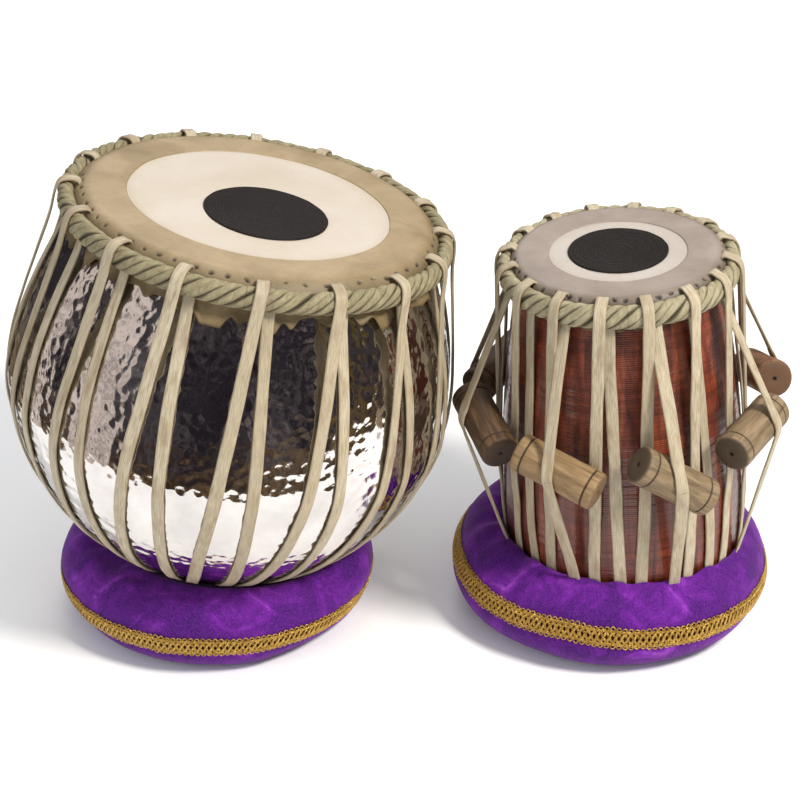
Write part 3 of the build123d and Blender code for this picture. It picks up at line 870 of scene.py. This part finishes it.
def treble_straps():
    """Taut runs from the rim, and runs that lie on the shell where no dowel holds them off."""
    low_wall = [(83.8, -195), (81.2, -222)] + treble_foot_path()
    taut = [(treble_strap_start + taut_slope * (d - 14), -d) for d in (24, 60, 105, 150)] + [(84.5, -168)]
    taut = over_rope(treble_hole_path, treble_rope) + taut + low_wall
    lying = [(73.0, -16), (74.4, -27), (77.4, -65), (81.1, -100), (83.2, -135), (84.4, -165)]
    outer_path = lifted(smooth_path(taut, 170), 0.3 + strap_thickness / 2)
    inner_path = lifted(smooth_path(lying + low_wall, 150), 0.1 + strap_thickness / 2)
    outer, inner = Mesh(), Mesh()
    for i in range(loops):
        r = random.Random(700 + i)
        loop = treble_phase + i * loop_step
        top = loop + r.uniform(-0.5, 0.5)
        foot_azimuth = top + treble_outer_lean + r.uniform(-0.6, 0.6)
        width = strap_width * r.uniform(0.82, 0.92)
        drum_strap(outer, outer_path, top, foot_azimuth, width, strap_thickness, 1200 + i)
        if not any(abs((loop - other + 180) % 360 - 180) < 1 for other in dowel_loops):
            start = top + first_shift
            foot_azimuth = start + treble_inner_lean + r.uniform(-0.6, 0.6)
            width = strap_width * r.uniform(0.84, 0.95)
            drum_strap(inner, inner_path, start, foot_azimuth, width, strap_thickness * 0.9, 1300 + i)
    on_drum(outer, "dayan", "outer_lacing", "strap", "strap_rawhide", "outer_straps", "bottom_loops")
    on_drum(inner, "dayan", "inner_lacing", "strap", "strap_rawhide", "inner_straps")


bass_straps()
treble_straps()


def bottom_ring(drum, radius, height, thickness):
    """The ring of three twisted strands under a drum, which the straps run round."""
    mesh = Mesh()
    azimuth = around(240)
    rope = (radius, height, thickness, thickness)
    for k in range(3):
        phase = np.radians(azimuth) * 9 + k * 2 * pi / 3
        strand(mesh, azimuth, phase, rope, (0.42, 0.42), 1.0, 10, 0.3 * k)
    on_drum(mesh, drum, "twisted_ring", "ring", "ring_leather", "bottom_ring")


bottom_ring("bayan", 30.0, bowl_centre - bowl_flat - 3.8, 3.5)
bottom_ring("dayan", 40.0, treble_base - 4.7, 4.4)


# ================================================================ dowels
def dowel_frame(i):
    """Centre and axis of a dowel in the treble drum's frame."""
    azimuth, tilt, height = radians(dowel_azimuths[i]), radians(dowel_tilts[i]), dowel_heights[i]
    radius = dowel_axis_radius + taut_slope * (-height - 115)
    outward = np.array([sin(azimuth), -cos(azimuth), 0])
    sideways = np.array([cos(azimuth), sin(azimuth), 0])
    centre = outward * radius + np.array([0, 0, height])
    axis = sideways * cos(tilt) - np.array([0, 0, 1]) * sin(tilt)
    return centre, axis, outward


def dowel_section(seed):
    """(distance along, radius) down a dowel, from the middle of one end to the middle of the other."""
    r = random.Random(seed)
    half = dowel_length / 2
    left = [(-half + 1.6, 0.0), (-half + 1.5, 0.7), (-half + 0.2, 1.1), (-half, 2.0), (-half, 7.0)]
    left += [(-half + 0.1, dowel_radius - 2.3), (-half + 0.5, dowel_radius - 1.2)]
    left += [(-half + 1.3, dowel_radius - 0.45), (-half + 2.6, dowel_radius - 0.06)]
    groove = -half + 7.5 + r.uniform(-0.5, 0.5)
    left += [(groove - 1.3, dowel_radius), (groove - 0.85, dowel_radius - 0.15)]
    left += [(groove - 0.5, dowel_radius - 0.9), (groove + 0.5, dowel_radius - 0.9)]
    left += [(groove + 0.85, dowel_radius - 0.15), (groove + 1.3, dowel_radius)]
    body = [(x, dowel_radius - 0.25 * (1 - (x / 20) ** 2)) for x in np.linspace(-19, 19, 21)]
    right = [(-x, radius) for x, radius in left[::-1]]
    return np.array(left + body + right)


def dowel(i):
    """A dowel, turned slightly out of round, with its length on X."""
    x, across = dowel_section(i).T
    angle = np.linspace(0, 2 * pi, 84, endpoint=False)
    radius = across * (1 + 0.006 * wobble(angle / 2 / pi, 600 + i, 2, 5))[:, None]
    y = radius * np.cos(angle)[:, None]
    z = radius * np.sin(angle)[:, None]
    half = dowel_length / 2
    end = np.clip((np.abs(x) - half + 1.2) / 0.9, 0, 1)
    # Painted shade: the centre marks and the turned grooves are coloured dark.
    mark = np.where(across < 1.5, 1.0, 0.0)
    groove = np.where((across < dowel_radius - 0.5) & (np.abs(x) < half - 5), 0.85, 0)
    mesh = Mesh()
    points = np.stack(np.broadcast_arrays(x, y, z), -1)
    mesh.grid(points, wrap_u=True, end=end, hole=np.maximum(mark, groove))
    centre, axis, outward = dowel_frame(i)
    local = Matrix(np.stack([axis, np.cross(axis, outward), -outward], 1).tolist()).to_4x4()
    local.translation = Vector(centre * MM)
    wood = dowel_woods[i]
    piece = mesh.make(f"dowel_{i + 1}_wood", woods[wood], treble_place @ local, weld=True)
    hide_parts(f"tuning_dowel_{i + 1}")
    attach(piece, f"dowel_{i + 1}")


def outer_hull(points):
    """The outer chain of (radius, height) points, from the highest to the lowest."""
    ordered = sorted(points, key=lambda p: -p[1])
    chain = []
    for p in ordered:
        while len(chain) > 1:
            (r1, z1), (r2, z2) = chain[-2], chain[-1]
            if (r2 - r1) * (z1 - p[1]) > (p[0] - r1) * (z1 - z2):
                break
            chain.pop()
        chain.append(p)
    return np.array(chain)


def dowel_strap(i):
    """The run that holds a dowel, in two pieces that meet on it."""
    centre, axis, _ = dowel_frame(i)
    start, crossing, foot = [dowel_loops[i] + shift for shift in (3.3, 5.4, 8.2)]
    out = swung(1.0, 0.0, crossing)
    side = swung(1.0, 0.0, crossing + 90)
    held = dowel_radius + 0.25 + strap_thickness / 2
    on_axis = centre - axis * (centre @ side) / (axis @ side)
    major = unit(axis - side * (axis @ side))
    minor = unit(np.cross(side, major))
    loop = []
    for a in np.linspace(0, 2 * pi, 180, endpoint=False):
        p = on_axis + major * cos(a) * held / abs(axis @ side) + minor * sin(a) * held
        loop.append((p @ out, p[2]))
    wall = smooth_path(treble_wall + [(79.5, -233.5)], 60)
    wall = [tuple(p) for p in lifted(wall, 0.2 + strap_thickness / 2) if p[1] < -120]
    chain = outer_hull([(75.4, -17.0)] + loop + wall)
    tail = lifted(smooth_path([(79.5, -233.5)] + treble_foot_path(), 24), 0.2 + strap_thickness / 2)[2:]
    path = evenly(np.vstack([chain, tail]), 230)
    for _ in range(3):
        path[1:-1] = (path[:-2] + 2 * path[1:-1] + path[2:]) / 4
    azimuth = np.interp(-path[:, 1], [17, -on_axis[2], 215], [start, crossing, foot])
    along = unit(np.gradient(path, axis=0))
    points = swung(path[:, 0], path[:, 1], azimuth)
    normals = swung(-along[:, 1], along[:, 0], azimuth)
    off = points - centre
    off = off - (off @ axis)[:, None] * axis
    distance = np.linalg.norm(off, axis=1)
    touching = np.clip((held + 3.0 - distance) / 3.0, 0, 1)[:, None]
    normals = unit(normals * (1 - touching) + unit(off) * touching)
    push = np.clip(held - distance, 0, 3)[:, None]
    points = points + unit(off) * push
    split = int(np.argmax(path[:, 0]))
    width = strap_width * random.Random(900 + i).uniform(0.84, 0.94)
    length = lengths(points)
    ends = {"upper": (0, split + 2), "lower": (split, len(path))}
    for half, (first, last) in ends.items():
        mesh = Mesh()
        run = slice(first, last)
        ribbon(mesh, points[run], normals[run], width, strap_thickness, 1400 + i, length[first])
        piece = mesh.make(f"dowel_{i + 1}_strap_{half}", materials["strap"], treble_place)
        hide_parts(f"dowel_strap_{i + 1}")
        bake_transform(piece)


for i in range(len(dowel_azimuths)):
    dowel(i)
    dowel_strap(i)


# ================================================================ cushions
ring_core = ring_outer - ring_half_width
cloth = {
    "quality": 6,
    "mass": 0.15,
    "tension_stiffness": 18,
    "compression_stiffness": 12,
    "shear_stiffness": 6,
    "bending_stiffness": 0.35,
    "use_pressure": True,
    "uniform_pressure_force": 3.0,
    "vertex_group_mass": "pinned",
    "pin_stiffness": 1.0,
}
cloth_steps = 24
most_movement = 9.0


def ring_section(shrink, count):
    """A ring cushion's oval section, flat below, as (radius, height) from the outside up and over."""
    half_height = ring_top - ring_middle - shrink
    points = []
    for a in np.linspace(0, 2 * pi, count, endpoint=False):
        z = ring_middle + half_height * sin(a)
        points.append((ring_core + (ring_half_width - shrink) * cos(a), max(z, shrink * 0.4)))
    return np.array(points)


def inflate(obj, pinned):
    """Fills a cushion with Cloth pressure, with no gravity, and keeps the result."""
    group = obj.vertex_groups.new(name="pinned")
    for index, weight in pinned:
        group.add([index], weight, "REPLACE")
    modifier = obj.modifiers.new("Cloth", "CLOTH")
    for key, value in cloth.items():
        setattr(modifier.settings, key, value)
    modifier.settings.effector_weights.gravity = 0
    modifier.collision_settings.use_collision = False
    modifier.collision_settings.use_self_collision = False
    modifier.point_cache.frame_start = 1
    modifier.point_cache.frame_end = cloth_steps
    for step in range(1, cloth_steps + 1):
        bpy.context.scene.frame_set(step)
    evaluated = obj.evaluated_get(bpy.context.evaluated_depsgraph_get())
    moved = np.array([v.co for v in evaluated.data.vertices])
    bpy.context.scene.frame_set(1)
    obj.modifiers.remove(modifier)
    obj.vertex_groups.remove(group)
    return moved


def cushion(name, node, keep_out, trim_height, grow, collar, seed):
    """A stuffed velvet ring, pressed by its drum. keep_out moves points out of the drum's space."""
    centre = middle(node)
    origin = np.array([centre.x, centre.y, 0])
    columns, rows = 200, 56
    azimuth = around(columns)
    points = lathe_points(ring_section(3.2, rows), azimuth)
    mesh = Mesh()
    mesh.grid(points, wrap_u=True, wrap_v=True)
    obj = mesh.make(name, materials["velvet"], Matrix.Translation(origin))
    rest = points.copy()
    pinned = []
    flat = rest.reshape(-1, 3)
    radius = np.hypot(flat[:, 0], flat[:, 1])
    height = trim_height(np.tile(azimuth[:, None], (1, rows))).reshape(-1)
    for index in range(len(flat)):
        if flat[index, 2] < 2.0:
            pinned.append((index, 1.0))
        elif radius[index] > ring_core and abs(flat[index, 2] - height[index]) < 3:
            pinned.append((index, 0.55))
    moved = inflate(obj, pinned).reshape(columns, rows, 3) / MM
    shift = moved - rest
    size = np.linalg.norm(shift, axis=-1, keepdims=True)
    points = rest + shift * np.minimum(1, most_movement / np.maximum(size, 1e-6))
    turns = (azimuth / 360)[:, None]
    radius = np.hypot(points[..., 0], points[..., 1])
    outwards = points.copy()
    outwards[..., :2] *= (1 - ring_core / np.maximum(radius, 1))[..., None]
    outwards[..., 2] -= ring_middle
    outwards = unit(outwards)
    height = trim_height(azimuth)[:, None]
    cinch = np.exp(-(((points[..., 2] - height) / 7.5) ** 2)) * (radius > ring_core)
    grow = grow * np.clip(points[..., 2] / 30, 0, 1)
    points += outwards * (grow - 2.2 * cinch + 1.6 * wobble(turns, seed, 2, 7) * (1 - cinch))[..., None]
    top = np.clip((points[..., 2] - 34) / 14, 0, 1)
    points[..., 2] += collar * top * np.exp(-(((radius - 86) / 13) ** 2))
    pucker = wobble(turns, seed + 1, 10, 34) * top * np.clip((106 - radius) / 20, 0, 1)
    points[..., 2] += 1.6 * pucker
    sag = wobble(turns, seed + 2, 6, 22) * np.exp(-(((points[..., 2] - height) / 16) ** 2))
    points += outwards * (0.8 * sag * (1 - cinch))[..., None]
    points[..., 2] = np.maximum(points[..., 2], 0.25)
    clear = keep_out(points * MM + origin) - origin
    obj.data.vertices.foreach_set("co", clear.reshape(-1))
    obj.data.update()
    modifier = obj.modifiers.new("Subdivision", "SUBSURF")
    modifier.levels = modifier.render_levels = 1
    evaluated = obj.evaluated_get(bpy.context.evaluated_depsgraph_get())
    fine = bpy.data.meshes.new_from_object(evaluated)
    obj.modifiers.remove(modifier)
    obj.data = fine
    co = np.array([v.co for v in fine.vertices])
    co = keep_out(co + origin) - origin
    co[:, 2] = np.maximum(co[:, 2], 0.0002)
    fine.vertices.foreach_set("co", co.reshape(-1))
    fine.update()
    fine.polygons.foreach_set("use_smooth", [True] * len(fine.polygons))
    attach(obj, "root")
    return obj, centre


bowl_middle = np.array(bass_place @ Vector((0, 0, bowl_centre * MM)))


def out_of_bowl(points):
    """Moves points out of the round space that the bass drum rocks in, bulging round its edge."""
    off = points - bowl_middle
    distance = np.linalg.norm(off, axis=-1, keepdims=True)
    clear = (bowl_radius + 3) * MM
    gap = distance - clear
    bulge = 0.0016 * np.exp(-((gap - 0.006) ** 2) / 0.00003)
    moved = np.maximum(distance + bulge, clear)
    return bowl_middle + off / distance * moved


treble_inverse = np.array(treble_place.inverted())
treble_forward = np.array(treble_place)
foot_bottom = -247.2  # the underside of the straps that run in under the base
foot_heights = [-262.0, foot_bottom, -246.2, -243.5, -240.0, -222.0, -195.0, -165.0]
foot_radii = [60.0, 60.0, 76.5, 80.5, 82.2, 84.4, 87.0, 88.0]


def out_of_foot(points):
    """Moves points out of the treble drum's foot and its straps."""
    shape = points.shape
    local = points.reshape(-1, 3) @ treble_inverse[:3, :3].T + treble_inverse[:3, 3]
    radius = np.hypot(local[:, 0], local[:, 1])
    height = local[:, 2] / MM
    clear = np.interp(height, foot_heights, foot_radii) * MM
    over = (height > foot_bottom) & (radius < clear)
    sideways = over & (clear - radius < (height - foot_bottom) * MM)
    below = over & ~sideways
    scale = np.where(sideways, clear / np.maximum(radius, 1e-6), 1.0)
    local[:, 0] *= scale
    local[:, 1] *= scale
    local[:, 2] = np.where(below, foot_bottom * MM, local[:, 2])
    world = local @ treble_forward[:3, :3].T + treble_forward[:3, 3]
    return world.reshape(shape)


def around_heights(pairs):
    """A height that changes smoothly with azimuth, from (azimuth, height) pairs."""
    azimuths = [p[0] for p in pairs]
    heights = [p[1] for p in pairs]

    def height(azimuth):
        a = (np.asarray(azimuth) + 180) % 360 - 180
        return np.interp(a, azimuths, heights, period=360)

    return height


bass_trim_height = around_heights([(-90, 23), (-42, 26), (0, 28), (74, 20), (180, 24)])
treble_trim_height = around_heights(
    [(-90, 40), (-45, 37), (-18, 38), (5, 35), (45, 31), (90, 27), (180, 32)]
)
bass_cushion, bass_cushion_centre = cushion(
    "bayan_velvet_cushion", "bayan_cushion_cover", out_of_bowl, bass_trim_height, 2.0, 0.0, 800
)
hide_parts("bayan_cushion_cover", "bayan_cushion_filling")
treble_cushion, treble_cushion_centre = cushion(
    "dayan_velvet_cushion", "dayan_cushion_cover", out_of_foot, treble_trim_height, 3.4, 4.0, 810
)
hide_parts("dayan_cushion_cover", "dayan_cushion_filling")


# ================================================================ gold trim
def cushion_surface(obj, trim_height, steps=720, spread=21):
    """Points and normals on a cushion's outside, at azimuths and each millimetre across the trim."""
    data = obj.data
    co = np.array([v.co for v in data.vertices]) / MM
    tree = BVHTree.FromPolygons([Vector(p) for p in co], [tuple(p.vertices) for p in data.polygons])
    azimuth = around(steps)
    offsets = np.linspace(-spread / 2, spread / 2, spread + 1)
    points = np.zeros((steps, len(offsets), 3))
    normals = np.zeros_like(points)
    for i, a in enumerate(azimuth):
        for j, offset in enumerate(offsets):
            rise = (float(trim_height(a)) + offset - ring_middle) / ring_half_width
            direction = swung(cos(rise), sin(rise), a)
            start = swung(ring_core, ring_middle, a) + direction * 60
            hit, normal, _, _ = tree.ray_cast(Vector(start), Vector(-direction))
            if hit is None:
                hit = Vector(swung(ring_core, ring_middle, a) + direction * ring_half_width)
                normal = Vector(direction)
            points[i, j] = hit
            normals[i, j] = normal if normal.dot(Vector(direction)) > 0 else -normal
    return points, unit(normals)


def on_trim(surface, azimuth, offset, lift):
    """Points on the trim's surface at azimuths and offsets across it, lifted off it."""
    points, normals = surface
    steps, across = points.shape[:2]
    u = np.asarray(azimuth) / 360 * steps
    v = np.asarray(offset) + (across - 1) / 2
    i, j = np.floor(u).astype(int), np.clip(np.floor(v).astype(int), 0, across - 2)
    fu, fv = (u - i)[:, None], (v - j)[:, None]

    def value(grid):
        a, b = grid[i % steps, j], grid[(i + 1) % steps, j]
        c, d = grid[i % steps, j + 1], grid[(i + 1) % steps, j + 1]
        return (a * (1 - fu) + b * fu) * (1 - fv) + (c * (1 - fu) + d * fu) * fv

    normal = unit(value(normals))
    return value(points) + normal * np.asarray(lift)[:, None], normal


def thread(mesh, surface, azimuth, offset, lift, radius):
    """A closed thread laid on the trim."""
    points, normals = on_trim(surface, azimuth, offset, lift)
    tangent = unit(np.roll(points, -1, 0) - np.roll(points, 1, 0))
    side = unit(np.cross(tangent, normals))
    normal = np.cross(side, tangent)
    t = np.linspace(0, 2 * pi, 5, endpoint=False)
    tube = points[:, None] + radius * (
        np.cos(t)[None, :, None] * side[:, None] + np.sin(t)[None, :, None] * normal[:, None]
    )
    mesh.grid(tube, wrap_u=True, wrap_v=True)


def trim(name, cushion_piece, centre, trim_height, node, seed):
    """The gold braid: a flat backing with threads that cross on it and small loops along its edges."""
    surface = cushion_surface(cushion_piece, trim_height)
    place = Matrix.Translation((centre.x, centre.y, 0))
    backing = Mesh()
    azimuth = around(720)
    section = [(-5.7, 0.1), (-5.5, 0.4), (-3, 0.5), (0, 0.55), (3, 0.5), (5.5, 0.4), (5.7, 0.1)]
    section += [(3.4, -0.4), (-3.4, -0.4)]
    strip = [on_trim(surface, azimuth, np.full(720, across), np.full(720, up))[0] for across, up in section]
    backing.grid(np.stack(strip, 1), wrap_u=True, wrap_v=True)
    back = backing.make(f"{name}_backing", materials["gold_back"], place)
    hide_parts(node)
    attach(back, "root")

    threads = Mesh()
    count = 84
    azimuth = around(count * 16)
    turn = np.radians(azimuth) * count
    drift = 0.45 * wobble(azimuth / 360, seed, 4, 40)
    for shift in (0.0, 0.55, pi, pi + 0.55):
        phase = turn + shift
        offset = 4.4 * np.arcsin(np.sin(phase) * 0.97) / (pi / 2) + drift
        over = 0.55 if shift < pi else -0.55
        thread(threads, surface, azimuth, offset, 1.35 + over * np.cos(turn + 0.27), 0.62)
    for side in (-1, 1):
        for k in range(2):
            phase = turn * 2 + k * pi
            offset = side * 4.8 + 0.7 * np.sin(phase) + drift
            thread(threads, surface, azimuth, offset, 1.15 + 0.35 * np.cos(phase), 0.6)
        uneven = 1 + 0.3 * wobble(azimuth / 360, seed + 3, 20, 60)
        scallop = side * (5.6 + 2.0 * np.abs(np.sin(turn)) * uneven) + drift
        thread(threads, surface, azimuth, scallop, np.full(len(azimuth), 0.75), 0.5)
    piece = threads.make(f"{name}_threads", materials["gold"], place)
    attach(piece, "root")


for drum, piece, centre, height, seed in (
    ("bayan", bass_cushion, bass_cushion_centre, bass_trim_height, 830),
    ("dayan", treble_cushion, treble_cushion_centre, treble_trim_height, 840),
):
    trim(f"{drum}_gold_trim", piece, centre, height, f"{drum}_cushion_trim", seed)


# ================================================================ studio
floor_half = 15000
room_half_width, room_half_depth = 640, 420
camera_distance = 1.6
camera_rise = radians(29.435)


def studio():
    """A pale floor, soft lights, a glowing wall painted with the room that the chrome reflects, and the
    camera.
    """
    scene = bpy.context.scene
    scene.view_settings.view_transform = "Standard"
    world = bpy.data.worlds.new("studio")
    scene.world = world
    world.use_nodes = True
    background = world.node_tree.nodes["Background"]
    background.inputs["Color"].default_value = (0.93, 0.96, 1.0, 1)
    background.inputs["Strength"].default_value = 0.62

    f = Finish("pale_floor", Specular_IOR_Level=0.05, Roughness=0.9)
    tone = f.noise(3.0, 2.0)
    floor = Mesh()
    edge = np.linspace(-floor_half, floor_half, 3)
    x, y = np.meshgrid(edge, edge, indexing="ij")
    floor.grid(np.stack([x, y, np.zeros_like(x)], -1))
    plane = floor.make("studio_floor", f.done(f.ramp(tone, (0.3, "f6f5f4"), (0.7, "f8f7f6"))))

    # A wall that glows though it is no lamp, seen only by glossy rays: painted reflections for the chrome,
    # with dark patches above a brown band, bright patches like windows and olive streaks.
    f = Finish("reflected_room")
    tree = f.tree
    glow = f.node("ShaderNodeEmission")
    patches = f.noise(8.0, 5.0, 0.62, 0.8, at=f.place((1, 1, 0.6)))
    colour = f.ramp(patches, (0.3, "17151a"), (0.46, "2e2a2f"), (0.6, "50494b"), (0.76, "8c8278"))
    earth = f.ramp(patches, (0.3, "33261b"), (0.5, "5c4833"), (0.7, "85704e"))
    coords = f.node("ShaderNodeTexCoord").outputs["Object"]
    rise = f.node("ShaderNodeSeparateXYZ", {"Vector": coords}).outputs["Z"]
    colour = f.mix(f.ramp(rise, (0.03, 1.0), (0.16, 0.0)), colour, earth)
    colour = f.mix(f.value("olive"), colour, "6e5a22")
    bright = f.ramp(f.value("window"), (0.25, 0.0), (0.6, 1.0))
    broken = f.noise(16.0, 3.0, at=f.place((1, 1, 0.4)))
    bright = f.maths("MULTIPLY", bright, f.ramp(broken, (0.34, 0.35), (0.52, 1.0)))
    colour = f.mix(bright, colour, "e2d3ca")
    tree.links.new(colour, glow.inputs["Color"])
    tree.links.new(glow.outputs[0], tree.nodes["Material Output"].inputs["Surface"])
    wall = Mesh()
    azimuth = around(144)
    heights = np.array([2.0, 60, 150, 260, 380, 520, 640])
    grid = swung(1.0, heights[None, :], azimuth[:, None])
    grid[..., 0] *= room_half_width
    grid[..., 1] *= room_half_depth
    a = (azimuth + 180) % 360 - 180
    # The azimuths of the painted bright patches and olive streaks in the reflection.
    window = np.exp(-(((a + 55) / 13) ** 4)) + 0.8 * np.exp(-(((a + 98) / 8) ** 4))
    window = window + 0.8 * np.exp(-(((a - 128) / 12) ** 4)) + 0.5 * np.exp(-(((a - 176) / 10) ** 4))
    olive = 0.6 * np.exp(-(((a - 40) / 5) ** 2)) + 0.7 * np.exp(-(((a - 76) / 6) ** 2))
    wall.grid(grid, wrap_u=True, window=window[:, None], olive=olive[:, None])
    room = wall.make("reflected_room", f.material)
    room.visible_camera = False
    room.visible_diffuse = False
    room.visible_shadow = False
    room.visible_transmission = False

    def lamp(name, place, aim, size, power, colour):
        data = bpy.data.lights.new(name, "AREA")
        data.shape = "DISK"
        data.size = size
        data.energy = power
        data.color = colour
        obj = bpy.data.objects.new(name, data)
        scene.collection.objects.link(obj)
        obj.location = place
        obj.rotation_euler = (Vector(aim) - Vector(place)).to_track_quat("-Z", "Y").to_euler()

    lamp("key", (1.25, -1.0, 1.9), (0, 0, 0.1), 0.55, 62, (1.0, 0.965, 0.91))
    lamp("fill", (-1.9, -1.5, 1.3), (0, 0, 0.15), 1.6, 14, (0.93, 0.96, 1.0))
    lamp("back", (-0.3, 1.9, 1.8), (0, 0, 0.2), 1.4, 18, (1.0, 0.98, 0.96))

    camera_data = bpy.data.cameras.new("camera")
    camera_data.lens = 104.03
    camera_data.sensor_width = 36
    camera = bpy.data.objects.new("camera", camera_data)
    scene.collection.objects.link(camera)
    target = treble_place.translation + Vector((-0.14562, 0, -0.115))
    direction = Vector((0, -cos(camera_rise), sin(camera_rise)))
    camera.location = target + direction * camera_distance
    camera.rotation_euler = (target - camera.location).to_track_quat("-Z", "Y").to_euler()
    scene.camera = camera


studio()
